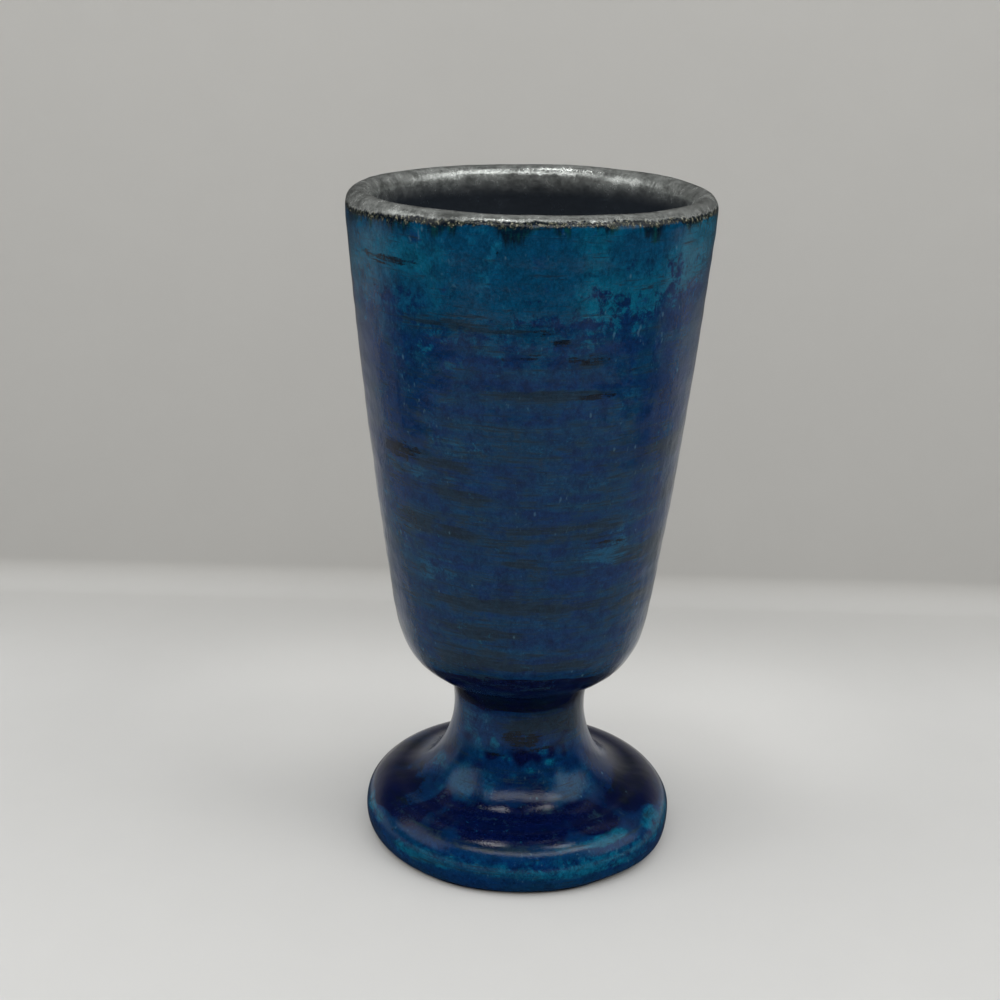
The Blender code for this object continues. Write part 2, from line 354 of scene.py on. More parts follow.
class Tree:
    """A node tree of a material or the world, with short calls for the nodes used here."""

    def __init__(self, owner, end="OutputMaterial"):
        owner.use_nodes = True
        self.owner = owner
        self.tree = owner.node_tree
        self.tree.nodes.clear()
        self.out = self.tree.nodes.new("ShaderNode" + end)

    def set(self, socket, value):
        if isinstance(value, bpy.types.NodeSocket):
            self.tree.links.new(value, socket)
        elif isinstance(value, tuple) and len(value) == 3 and socket.type == "RGBA":
            socket.default_value = (*value, 1)
        else:
            socket.default_value = value

    def node(self, kind, sockets, **settings):
        made = self.tree.nodes.new("ShaderNode" + kind)
        for key, value in settings.items():
            setattr(made, key, value)
        for key, value in sockets.items():
            self.set(made.inputs[key], value)
        return made

    def place(self, stretch):
        coords = self.node("TexCoord", {}).outputs["Object"]
        return self.node("VectorMath", {0: coords, 1: stretch}, operation="MULTIPLY").outputs[0]

    def noise(self, stretch, detail, roughness=0.5, distortion=0.0):
        sockets = {"Vector": self.place(stretch), "Scale": 1.0, "Detail": detail, "Roughness": roughness,
                   "Distortion": distortion}
        return self.node("TexNoise", sockets).outputs[0]

    def swing(self, *shape):
        """Noise about zero."""
        return self.add(self.noise(*shape), -0.5)

    def sum(self, *terms):
        """Sum of values, each times a number."""
        total = None
        for value, weight in terms:
            term = value if weight == 1.0 else self.times(value, weight)
            total = term if total is None else self.add(total, term)
        return total

    def layer(self, name):
        return self.node("Attribute", {}, attribute_name=name).outputs["Fac"]

    def math(self, operation, a, b=0.0, clamp=False):
        return self.node("Math", {0: a, 1: b}, operation=operation, use_clamp=clamp).outputs[0]

    def add(self, a, b):
        return self.math("ADD", a, b)

    def times(self, a, b):
        return self.math("MULTIPLY", a, b)

    def step(self, value, low, high, to=(0.0, 1.0)):
        sockets = {"Value": value, "From Min": low, "From Max": high, "To Min": to[0], "To Max": to[1]}
        return self.node("MapRange", sockets, interpolation_type="SMOOTHSTEP").outputs[0]

    def mix(self, share, a, b, blend="MIX"):
        made = self.node("Mix", {}, data_type="RGBA", blend_type=blend)
        self.set(made.inputs[0], share)
        self.set(made.inputs[6], a)
        self.set(made.inputs[7], b)
        return made.outputs[2]

    def blend(self, share, a, b):
        """A number between a and b."""
        made = self.node("Mix", {}, data_type="FLOAT")
        for i, value in ((0, share), (2, a), (3, b)):
            self.set(made.inputs[i], value)
        return made.outputs[0]

    def spots(self, size, radius, share, frayed, tall=1.0):
        """Spots: cells of a size in metres, a radius as a share of the cell, in a share of the cells."""
        stretch = (1 / size, 1 / size, 1 / (size * tall))
        cells = self.node("TexVoronoi", {"Vector": self.place(stretch), "Scale": 1.0}, feature="F1")
        chosen = self.node("SeparateColor", {0: cells.outputs["Color"]}).outputs
        far = self.sum((cells.outputs["Distance"], 1.0), (frayed, 0.10), (chosen[1], radius * 0.8))
        near = self.step(far, radius * 1.2, radius * 0.5)
        return self.times(near, self.math("GREATER_THAN", chosen[0], 1 - share))

    def bump(self, height, distance, normal=None):
        sockets = {"Height": height, "Distance": distance, "Strength": 1.0}
        if normal is not None:
            sockets["Normal"] = normal
        return self.node("Bump", sockets).outputs[0]

    def shader(self, **sockets):
        made = self.node("BsdfPrincipled", {})
        for key, value in sockets.items():
            self.set(made.inputs[key.replace("_", " ")], value)
        self.set(self.out.inputs[0], made.outputs[0])
        return self.owner


# Colours of the glaze and the clay, and depths of their relief in metres
TEAL = (0.0004, 0.042, 0.100)
GREEN_TEAL = (0.0008, 0.084, 0.150)
PALE_TEAL = (0.004, 0.110, 0.195)
MID_BLUE = (0.001, 0.034, 0.087)
LIGHT_BLUE = (0.005, 0.063, 0.132)
DEEP_BLUE = (0.0003, 0.019, 0.080)
NIGHT_BLUE = (0.0003, 0.003, 0.029)
MURK = (0.0006, 0.014, 0.032)
BRUSH_BROWN = (0.008, 0.021, 0.037)
INK = (0.0012, 0.004, 0.010)
DRIP_GREEN = (0.002, 0.036, 0.034)
WORN_EDGE = (0.30, 0.28, 0.21)
OLIVE = (0.040, 0.046, 0.030)
SPECK = (0.09, 0.21, 0.30)
PEWTER_DARK = (0.22, 0.236, 0.231)
PEWTER_LIGHT = (0.62, 0.655, 0.645)
PEWTER_PIT = (0.06, 0.06, 0.06)
# Painted shade of the pewter deep inside the cup
PEWTER_SHADED_INSIDE = (0.080, 0.098, 0.125)
CLAY_LIGHT = (0.60, 0.46, 0.33)
CLAY_SHADE = (0.48, 0.35, 0.24)
SLIP_LIGHT = (0.52, 0.38, 0.27)
SLIP_SHADE = (0.42, 0.30, 0.20)
GROG = (0.22, 0.14, 0.09)
GLAZE_IOR = 1.38
RIPPLE_DEPTH = 0.00012
GRAIN_DEPTH = 0.000020
CLAY_DEPTH = 0.00008


def glaze_material(name):
    """Blue glaze brushed on in bands, with dark brush marks, and grey where the edge layer is positive.

    The layers stored on the points say where each colour lies, and noise of many sizes frays their borders.
    """
    t = Tree(bpy.data.materials.new(name))
    cloud = t.swing((60, 60, 50), 7, 0.64, 0.6)
    blotch = t.swing((125, 125, 110), 7, 0.68, 0.8)
    lace = t.swing((360, 360, 330), 7, 0.74, 0.6)
    dab = t.swing((300, 300, 210), 5, 0.66, 0.5)
    fibre = t.swing((1700, 1700, 1250), 3, 0.65)
    bristle = t.swing((150, 150, 1700), 4, 0.70, 0.3)
    streak = t.swing((36, 36, 330), 6, 0.62, 0.3)
    grain = t.swing((3300, 3300, 3300), 2, 0.6)
    ragged = t.times(t.sum((lace, 2.4), (blotch, 2.4), (fibre, 0.5)), t.layer("ragged"))

    # Ground of mid and deep blue with lighter and murky patches
    colour = t.mix(t.step(t.sum((streak, 2.2), (blotch, 1.8), (lace, 1.1)), -0.40, 0.40), DEEP_BLUE, MID_BLUE)
    light = t.sum((t.layer("light"), 1.0), (streak, 2.4), (lace, 1.7), (blotch, 1.6), (fibre, 0.5))
    colour = t.mix(t.step(light, 0.28, 0.94, (0.0, 0.9)), colour, LIGHT_BLUE)
    deep = t.step(t.sum((t.layer("deep"), 1.0), (ragged, 1.0)), 0.30, 0.80, (0.0, 0.92))
    colour = t.mix(deep, colour, DEEP_BLUE)
    murk = t.sum((lace, 2.4), (blotch, 1.6), (cloud, 1.4), (fibre, 1.1))
    colour = t.mix(t.step(murk, 0.16, 0.64, (0.0, 0.75)), colour, MURK)

    # Teal, as in the band under the lip, and the darkest blue, which also carries painted shade at the cup's
    # base and on the foot's upper slope
    greener = t.sum((t.layer("green"), 1.0), (cloud, 2.2), (lace, 0.7))
    band = t.mix(t.step(greener, 0.10, 0.80), TEAL, GREEN_TEAL)
    holes = t.sum((blotch, 2.6), (lace, 1.2), (cloud, 2.4))
    band = t.mix(t.step(holes, 0.20, 0.66, (0.0, 0.85)), band, DEEP_BLUE)
    dabs = t.sum((dab, 1.8), (cloud, -2.2), (lace, 1.3))
    band = t.mix(t.step(dabs, 0.24, 0.72, (0.0, 0.54)), band, PALE_TEAL)
    teal = t.step(t.sum((t.layer("teal"), 1.0), (ragged, 1.0), (streak, 0.9)), 0.28, 0.72)
    colour = t.mix(teal, colour, band)
    night = t.step(t.sum((t.layer("night"), 1.0), (ragged, 0.6)), 0.30, 0.70)
    colour = t.mix(night, colour, NIGHT_BLUE)

    # Dry brush marks in brown and ink
    dry = t.sum((bristle, 2.6), (lace, 1.8), (fibre, 0.7), (blotch, 0.8))
    brown = t.step(t.sum((t.layer("brush"), 0.88), (dry, 1.25), (streak, 1.6)), 0.18, 0.92)
    colour = t.mix(t.times(brown, 0.90), colour, BRUSH_BROWN)
    wisp = t.sum((t.layer("brush"), 0.5), (bristle, 3.2), (fibre, 1.0), (lace, 0.8))
    colour = t.mix(t.step(wisp, 0.28, 0.78, (0.0, 0.55)), colour, MURK)
    inked = t.layer("ink")
    ink = t.step(t.sum((inked, 0.9), (dry, 1.1), (lace, 1.0), (fibre, 0.9)), 0.30, 0.80)
    ink = t.times(ink, t.step(inked, 0.05, 0.45))
    colour = t.mix(t.times(ink, 0.90), colour, INK)

    # Fine tone, flecks, a faint grey grain added over the colour, pits and specks
    shade = t.sum((lace, 1.5), (fibre, 0.9), (grain, 0.3))
    level = t.step(shade, -0.50, 0.50, (0.52, 1.50))
    colour = t.mix(1.0, colour, t.node("CombineXYZ", {i: level for i in range(3)}).outputs[0], "MULTIPLY")
    fleck = t.step(t.sum((dab, 1.6), (fibre, 1.0), (grain, 0.4)), 0.25, 0.55, (0.0, 0.45))
    colour = t.mix(fleck, colour, PALE_TEAL)
    # A faint grey added over the colour in fine grains.
    grey_noise = t.swing((5200, 5200, 5200), 1, 0.5)
    grey_grain = t.step(t.sum((grey_noise, 1.2), (grain, 0.6), (fibre, 0.4)), 0.00, 0.40, (0.0, 0.006))
    colour = t.mix(1.0, colour, t.node("CombineXYZ", {i: grey_grain for i in range(3)}).outputs[0], "ADD")
    flick = t.sum((t.swing((900, 900, 460), 2, 0.5), 1.0), (cloud, 0.9), (lace, 0.3))
    flick = t.times(t.step(flick, 0.20, 0.36, (0.0, 0.30)), t.math("SUBTRACT", 1.0, night))
    colour = t.mix(flick, colour, SPECK)
    pits = t.spots(0.0056, 0.075, 0.25, fibre)
    colour = t.mix(t.times(pits, 0.8), colour, INK)
    specks = t.spots(0.0034, 0.105, 0.75, fibre, 1.9)
    colour = t.mix(t.times(specks, 0.34), colour, SPECK)

    # Lip and lining: pewter-grey, with a worn crust and drips at its lower border, and painted shade deeper
    # inside the cup
    hair = t.swing((1250, 1250, 60), 3, 0.7)
    clump = t.swing((200, 200, 40), 3, 0.6)
    mottle = t.swing((800, 800, 620), 4, 0.70)
    crumb = t.swing((1700, 1700, 1300), 3, 0.70)
    edge = t.layer("edge")
    line = t.sum((edge, 1.0), (hair, 0.6), (clump, 1.4), (mottle, 2.2))
    pewter = t.step(line, -0.20, 0.25)
    drip = t.sum((line, 1.0), (hair, 4.0), (clump, 13.0), (t.layer("green"), -1.6))
    drip = t.step(drip, -2.9, -0.7, (0.0, 0.85))
    colour = t.mix(drip, colour, t.mix(t.step(t.sum((hair, 2.0), (lace, 2.0)), -0.1, 0.5), INK, DRIP_GREEN))
    metal_cloud = t.sum((t.swing((330, 330, 330), 5, 0.70), 1.0), (crumb, 0.35))
    metal = t.mix(t.step(metal_cloud, -0.2, 0.2), PEWTER_DARK, PEWTER_LIGHT)
    metal = t.mix(t.times(t.spots(0.0034, 0.09, 0.3, fibre), 0.7), metal, PEWTER_PIT)
    # Deeper inside the cup the pewter darkens: painted shade.
    inner = t.step(t.sum((edge, 1.0), (clump, 1.0)), 7.3, 12.5)
    metal = t.mix(inner, metal, PEWTER_SHADED_INSIDE)
    colour = t.mix(pewter, colour, metal)
    crust = t.step(t.math("ABSOLUTE", t.add(line, 0.35)), 0.95, 0.35, (0.0, 0.92))
    crust_colour = t.mix(t.step(t.sum((crumb, 1.0), (mottle, 0.6)), -0.08, 0.12), INK, OLIVE)
    crust_colour = t.mix(t.step(t.sum((crumb, 1.0), (grain, 0.4)), 0.06, 0.20), crust_colour, WORN_EDGE)
    colour = t.mix(crust, colour, crust_colour)

    # Gloss and relief, calmer on the foot
    roughness = t.blend(brown, t.step(cloud, -0.3, 0.3, (0.03, 0.07)), 0.12)
    roughness = t.blend(pewter, roughness, t.step(metal_cloud, -0.2, 0.2, (0.15, 0.28)))
    calm = t.times(t.layer("ragged"), t.layer("ragged"))
    ripples = t.bump(t.times(t.noise((420, 420, 380), 3, 0.6), calm), RIPPLE_DEPTH)
    metallic = t.times(pewter, t.math("SUBTRACT", 0.75, crust, True))
    fine = t.sum((grain, 1.0), (fibre, 1.2), (t.times(pewter, metal_cloud), 5.0))
    normal = t.bump(fine, GRAIN_DEPTH, ripples)
    return t.shader(Base_Color=colour, Roughness=roughness, Metallic=metallic, IOR=GLAZE_IOR, Normal=normal)


def clay_material(name, light, shade):
    """Bare fired clay with grog in it."""
    t = Tree(bpy.data.materials.new(name))
    coarse = t.noise((260, 260, 260), 4, 0.6)
    fine = t.noise((2400, 2400, 2400), 3, 0.6)
    colour = t.mix(t.step(coarse, 0.3, 0.7), shade, light)
    grog = t.spots(0.0016, 0.16, 0.3, t.add(fine, -0.5))
    colour = t.mix(t.times(grog, 0.6), colour, GROG)
    normal = t.bump(t.add(fine, t.times(coarse, 0.5)), CLAY_DEPTH)
    return t.shader(Base_Color=colour, Roughness=t.step(fine, 0.2, 0.8, (0.78, 0.95)), Normal=normal)


# Brushwork: middle angle and half length in degrees, height and half width in mm, weight. 0 degrees faces the
# camera.
BROWN_STROKES = [
    (-22, 28, 128.0, 1.0, 0.80), (19, 7, 121.0, 1.2, 0.60), (-36, 12, 116.0, 1.0, 0.60),
    (5, 26, 115.0, 1.2, 0.85), (-30, 13, 97.7, 1.2, 1.00), (-24, 14, 92.0, 1.5, 1.00),
    (-48, 11, 92.2, 1.6, 0.60), (-36, 21, 83.5, 2.4, 0.85), (13, 30, 85.0, 0.9, 0.75),
    (13, 30, 82.8, 0.6, 0.70), (0, 8, 78.0, 1.0, 0.90), (0, 46, 67.0, 1.8, 0.85),
    (-18, 24, 60.0, 1.6, 0.90), (-18, 26, 52.3, 2.2, 1.10), (18, 14, 52.0, 1.6, 0.70),
]
INK_STROKES = [
    (-47, 16, 139.8, 0.9, 1.0), (4, 5, 127.5, 0.6, 0.9), (10, 3, 125.4, 0.7, 1.0), (19, 9, 121.8, 1.0, 0.8),
    (-2, 7, 122.8, 0.8, 0.7), (22, 8, 114.0, 0.5, 1.0), (-49, 12, 99.2, 2.2, 1.0), (32, 12, 81.5, 0.9, 0.7),
]
DEEP_PATCHES = [
    (-27, 8, 122, 7, 1.0), (-46, 15, 108, 7, 1.0), (-62, 14, 116, 10, 0.8), (50, 14, 108, 13, 1.0),
]
LIGHT_PATCHES = [
    (-52, 22, 110, 16, 0.40), (56, 18, 108, 16, 0.40), (-60, 22, 80, 12, 0.3), (58, 22, 82, 14, 0.3),
    (36, 13, 78.5, 5, 0.8), (-39, 14, 73.5, 3.5, 0.7), (16, 16, 95, 8, 0.25), (-30, 12, 103, 3, 0.4),
]
FOOT_TEAL = [
    (-44, 24, 29, 4, 0.42), (-18, 10, 27, 2, 0.7), (-10, 5, 24.2, 0.8, 0.6), (9, 7, 21.6, 0.9, 0.55),
    (20, 6, 25.2, 0.8, 0.55), (28, 7, 22.6, 1.0, 0.5), (-2, 4, 20.4, 0.7, 0.5), (-72, 16, 17, 3, 0.5),
    (-76, 14, 8.4, 2.2, 0.55), (-42, 16, 5.8, 2.2, 0.58), (3, 28, 7.0, 1.8, 0.5), (38, 16, 6.4, 1.6, 0.5),
    (64, 14, 8.4, 2.8, 0.62), (37, 16, 10.5, 1.0, 0.8), (110, 24, 7.0, 2.5, 0.9), (165, 26, 6.0, 2.5, 0.9),
    (-105, 20, 6.5, 2.5, 0.8), (-140, 16, 20, 5, 0.7), (140, 40, 30, 5, 0.8),
]
FOOT_LIGHT = [
    (-46, 26, 30.5, 5, 0.66), (-40, 20, 18.2, 3.2, 0.9), (42, 20, 18.2, 3.2, 0.9), (150, 40, 19, 4, 0.8),
    (-130, 30, 9, 2, 0.7),
]
FOOT_NIGHT = [
    (0, 36, 13.2, 1.6, 1.0), (2, 36, 24.4, 1.5, 0.55), (-85, 40, 11.5, 1.6, 0.9), (85, 40, 12.5, 1.4, 0.8),
    (180, 50, 13, 2, 0.9),
]
FOOT_BROWN = [
    (46, 64, 31.5, 4.0, 1.6), (-18, 40, 11.0, 0.7, 0.7), (2, 18, 28.8, 1.6, 1.1), (-130, 40, 31, 3, 0.8),
    (140, 40, 11, 1, 0.8),
]
FOOT_INK = [
    (4, 20, 28.6, 1.7, 1.4), (12, 24, 26.0, 0.6, 0.7), (-90, 42, 12.6, 2.4, 0.55),
    (92, 42, 13.0, 2.4, 0.55), (40, 12, 30.5, 0.8, 0.5), (-20, 14, 24.4, 0.5, 0.6),
]

# Levels round the vase in mm: the lower border of the teal band, and how far the grey reaches below the lip
BAND_ANGLES = [-180, -120, -65, -44, -36, -28, 0, 20, 32, 45, 60, 120, 180]
BAND_LEVELS = [130, 130, 130, 129, 128, 127, 126, 129, 132, 134, 137, 128, 130]
BAND_SOFTNESS = 18.0
GREY_ANGLES = [-180, -64, -30, 0, 30, 54, 120, 180]
GREY_REACH = [1.2, 0.8, 2.0, 2.7, 2.5, 1.7, 0.8, 1.2]
UNSEEN_ANGLES = (66, 294)
NO_GREY = -50.0

# Heights in mm where a tone starts and where it is full. The dark ring at the cup's base, deep blue glaze
# with painted shade under the belly, drops at the sides, between two angles in radians.
DARK_RING_TOP = 48.6
DARK_RING_DROP = 2.2
DARK_RING_SIDES = (0.2, 0.9)
BROWN_GROUND = (122, 100)
EDGE_BAND_LOW = (3.2, 5.0)
EDGE_BAND_HIGH = (10.5, 8.0)
BLACK_COLLAR = (35.0, 35.6)
# Painted contact shade along the foot's bottom edge.
HEM_SHADE = (1.7, 0.7)
# Painted shade on the foot's upper slope, under the cup.
SLOPE_SHADE_LOW = (8.5, 10.5)
SLOPE_SHADE_HIGH = (26, 20)
STEM_BANDS = (24, 27)


def strokes(angle, height, marks, seed):
    """Brush marks that run round the vase, strong at their middle line and with tapered ends."""
    total = np.zeros(height.shape)
    drift = 0.35 * ripple(angle, height, 26.0, seed)
    for middle, half, level, width, weight in marks:
        along = np.abs(away(angle, middle)) / half
        across = (height + drift - level) / (width * np.sqrt(np.clip(1.15 - along, 0.05, 1)))
        total = np.maximum(total, weight * smooth(along, 1.1, 0.6) * np.exp(-across**2))
    return total


def patches(angle, height, marks, seed):
    """Blots with wandering outlines."""
    total = np.zeros(height.shape)
    for middle, half, level, tall, weight in marks:
        far = np.hypot(away(angle, middle) / half, (height - level) / tall)
        total = np.maximum(total, weight * smooth(far + 0.25 * ripple(angle, height, 10.0, seed), 1.5, 0.2))
    return total


def unseen(seed, count, levels, halves, widths, weights):
    """Marks like those on the photographed side, for the sides that the photograph doesn't show."""
    rng = np.random.default_rng(seed)
    ranges = (UNSEEN_ANGLES, halves, levels, widths, weights)
    return [tuple(rng.uniform(*limits) for limits in ranges) for _ in range(count)]


def teal_band(angle, height):
    """Above 0.5 where the band under the lip is teal, with a wide border that the glaze breaks up."""
    level = np.interp(np.degrees(angle), BAND_ANGLES, BAND_LEVELS)
    return 0.5 + (height - level + 1.2 * ripple(angle, height, 11.0, 21)) / BAND_SOFTNESS


def greenness(angle, height):
    """How far the band leans to the lighter, greener teal: most at the right, least in front."""
    side = away(angle, -4)
    uneven = 0.25 * ripple(angle, height, 30.0, 22)
    return smooth(np.abs(side), 8, 36) * (0.22 + 0.42 * smooth(side, -20, 20) + uneven)


def coat(name, line, material):
    """A coat of glaze along a line, with its back inside the clay."""
    back = offset(line, COAT)[::-BACK_STEP]
    return turned(name, np.concatenate([line, back]), len(line), material)


def over_grey_line(run, angle):
    """Way in mm past the line where the blue ends and the grey begins; a coat's back repeats the last."""
    back = np.full(len(angle) - len(run), run[-1])
    run = np.concatenate([run, back])[:, None] + np.zeros(angle.shape)
    return run - np.interp(np.degrees(angle), GREY_ANGLES, GREY_REACH)


# Pieces

blue = glaze_material("brushed_blue_glaze")
clay = clay_material("buff_earthenware", CLAY_LIGHT, CLAY_SHADE)
slip = clay_material("fired_slip", SLIP_LIGHT, SLIP_SHADE)

line = cup_line()
cup, angle, height = coat("cup_coat", line, blue)
below = run_up(line) - run_up(line)[-1]
# The darkest blue at the cup's base is partly the glaze and partly painted shade under the belly.
dark_edge = DARK_RING_TOP - DARK_RING_DROP * smooth(np.abs(angle), *DARK_RING_SIDES)
light_marks = LIGHT_PATCHES + unseen(51, 9, (60, 118), (8, 18), (3, 8), (0.4, 0.8))
deep_marks = DEEP_PATCHES + unseen(52, 7, (95, 125), (8, 16), (4, 9), (0.7, 1))
brown_marks = BROWN_STROKES + unseen(53, 26, (50, 130), (10, 40), (1, 3), (0.7, 1))
ink_marks = INK_STROKES + unseen(54, 12, (80, 140), (4, 16), (0.5, 1.6), (0.7, 1))
finish_mesh(cup, {
    "teal": teal_band(angle, height),
    "light": patches(angle, height, light_marks, 5),
    "deep": patches(angle, height, deep_marks, 6),
    "green": greenness(angle, height),
    "night": 2.0 * smooth(height + 0.25 * ripple(angle, height, 14.0, 8) - dark_edge, 0.3, -0.3),
    "brush": 0.26 * smooth(height, *BROWN_GROUND) + strokes(angle, height, brown_marks, 11),
    "ink": strokes(angle, height, ink_marks, 11),
    "edge": over_grey_line(below, angle),
    "ragged": np.ones(height.shape),
})

line = liner_line()
liner, angle, height = coat("liner_coat", line, blue)
nothing = np.zeros(height.shape)
finish_mesh(liner, {
    "teal": nothing + 1,
    "light": nothing,
    "deep": nothing,
    "green": greenness(angle, height),
    "night": nothing,
    "brush": nothing,
    "ink": nothing,
    "edge": over_grey_line(run_up(line), angle),
    "ragged": nothing + 1,
})

line = pedestal_line()
foot, angle, height = coat("pedestal_coat", line, blue)
edge_band = smooth(height, *EDGE_BAND_LOW) * smooth(height, *EDGE_BAND_HIGH)
edge_band = edge_band * (0.36 + 0.22 * ripple(angle, height, 16.0, 46, stretch=2.5))
teal_patches = np.maximum(patches(angle, height, FOOT_TEAL, 41), edge_band)
light_patches = patches(angle, height, FOOT_LIGHT, 42)
black_collar = smooth(height, *BLACK_COLLAR)
# The foot's bottom edge is inked dark: painted contact shade.
hem_shade = smooth(height, *HEM_SHADE)
# The foot's upper slope is darkened towards the darkest blue: painted shade under the cup.
slope_shade = smooth(height, *SLOPE_SHADE_LOW) * smooth(height, *SLOPE_SHADE_HIGH)
stem_bands = ripple(angle, height, 6.0, 47, stretch=5.0) * smooth(height, *STEM_BANDS)
finish_mesh(foot, {
    "teal": teal_patches,
    "green": np.full(height.shape, 0.55),
    "light": light_patches,
    "deep": np.full(height.shape, 0.50),
    "night": patches(angle, height, FOOT_NIGHT, 44) + 2.0 * black_collar + 0.20 + 0.32 * slope_shade
    + 0.30 * stem_bands - 0.4 * light_patches - 0.5 * teal_patches,
    "brush": strokes(angle, height, FOOT_BROWN, 45),
    "ink": strokes(angle, height, FOOT_INK, 45) + 0.7 * black_collar + 0.9 * hem_shade,
    "edge": np.full(height.shape, NO_GREY),
    "ragged": np.full(height.shape, 0.50),
})

ring = turned("foot_clay", clay_line(), 0, clay, CLAY_COLUMNS)[0]
finish_mesh(ring, {})

for piece, node, slot in ((cup, "cup_glaze", "blue_glaze"), (liner, "liner_glaze", "pewter_glaze"),
                          (foot, "pedestal_glaze", "blue_glaze"), (ring, "pedestal_body", "clay")):
    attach(piece, "root")
    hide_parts(node)

for node, material in (("cup_body", clay), ("luting_slip", slip)):
    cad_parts[node].data.materials.clear()
    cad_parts[node].data.materials.append(material)


# Stage, light and camera

# Colours of the paper as it is seen, with painted light behind the vase and painted shade towards the fold,
# low on the wall and at the wall's sides, and then as the glaze mirrors it
PAPER = (0.594, 0.601, 0.605)
PAPER_LIT_BEHIND = (0.690, 0.697, 0.700)
PAPER_SHADED_AT_FOLD = (0.475, 0.478, 0.475)
PAPER_GRAIN = (0.97, 0.97, 0.97)
PAPER_SHADED_FAR = (0.92, 0.92, 0.92)
PAPER_ROUGHNESS = 0.9
WALL_SHADED_LOW = (0.525, 0.522, 0.51)
WALL_HIGH = (0.64, 0.637, 0.622)
# As mirrored: painted light behind the vase and on the wall's right, painted shade close round the foot
MIRRORED_PAPER = (0.28, 0.28, 0.275)
MIRRORED_LIT_BEHIND = (0.55, 0.55, 0.545)
MIRRORED_WALL = (0.50, 0.50, 0.50)
MIRRORED_WALL_UP = (0.025, 0.025, 0.025)
MIRRORED_WALL_TOP = (0.17, 0.17, 0.17)
MIRRORED_WALL_LIT_RIGHT = (0.30, 0.30, 0.30)
CONTACT_SHADE = (0.03, 0.03, 0.03)
GAP_BESIDE = (0.035, 0.034, 0.034)
BESIDE = (0.23, 0.225, 0.225)
IN_FRONT = (0.02, 0.018, 0.016)

# The sheet of paper in metres, and where it ends for the glaze that mirrors it
PAPER_SIDES = 0.243
PAPER_FRONT = -0.29
FOLD = 0.140
FOLD_RADIUS = 0.009
FOLD_STEPS = 16
SHEET_FRONT = -1.2
SHEET_MIDDLE = -0.4
SHEET_HALF = 0.9
SHEET_TOP = 0.45
SHEET_LEAN = 0.01

# Where the paper's looks change, from and to, in metres
BEHIND_Y = (-0.005, 0.045)
BEHIND_X = (0.12, 0.05)
TO_FOLD_Y = (0.06, FOLD)
WALL_Z = (0.01, 0.28)
FAR_X = (0.04, 0.24)
CLOSE_Y = (0.01, 0.05)
CLOSE_END_Y = (0.12, 0.075)
CLOSE_X = (0.14, 0.09)
SIDES_X = (PAPER_SIDES - 0.004, PAPER_SIDES + 0.006)
FRONT_Y = (PAPER_FRONT + 0.02, PAPER_FRONT - 0.05)
CONTACT = (0.070, 0.044)
MIRRORED_WALL_Z = (0.02, 0.125)
MIRRORED_RIGHT_X = (-0.02, 0.08)
MIRRORED_TOP_Z = (0.19, 0.30)

# The room: its light below and above, more of it from the sides, and what is mirrored or seen of it
ROOM_UP = (0.0, 0.9)
ROOM_LOW_HIGH = (0.29, 1.04)
ROOM_MIDDLE = 0.72
ROOM_SIDES = 0.75
ROOM_MIRRORED = 0.025
ROOM_SEEN = 0.5
ROOM_TINT = (1.0, 0.985, 0.955)

# Blur of a soft light's sides and ends, in degrees
SOFT_SIDES = 6
SOFT_ENDS = 3

# The photograph's camera: angles in degrees, focal length in widths of the frame, place in metres
PITCH = 19.008
ROLL = 1.161
YAW = 0.883
FOCAL = 1.658
SENSOR = 36.0
NEAR = 0.01
CAMERA_PLACE = (0, -0.35184, 0.20148)

# Soft lights: level, azimuth from and to (0 in front, right positive), height from and to, in degrees
SOFTBOXES = [
    (0.92, -118, -58, 17, 47),
    (1.05, 58, 100, 17, 52),
    (2.90, -48, 60, 46, 56),
    (2.40, 50, 70, 45, 54),
    (11.0, -74, -30, 73, 80),
    (7.50, 46, 72, 64, 71),
    (0.60, -200, 200, 84, 100),
]


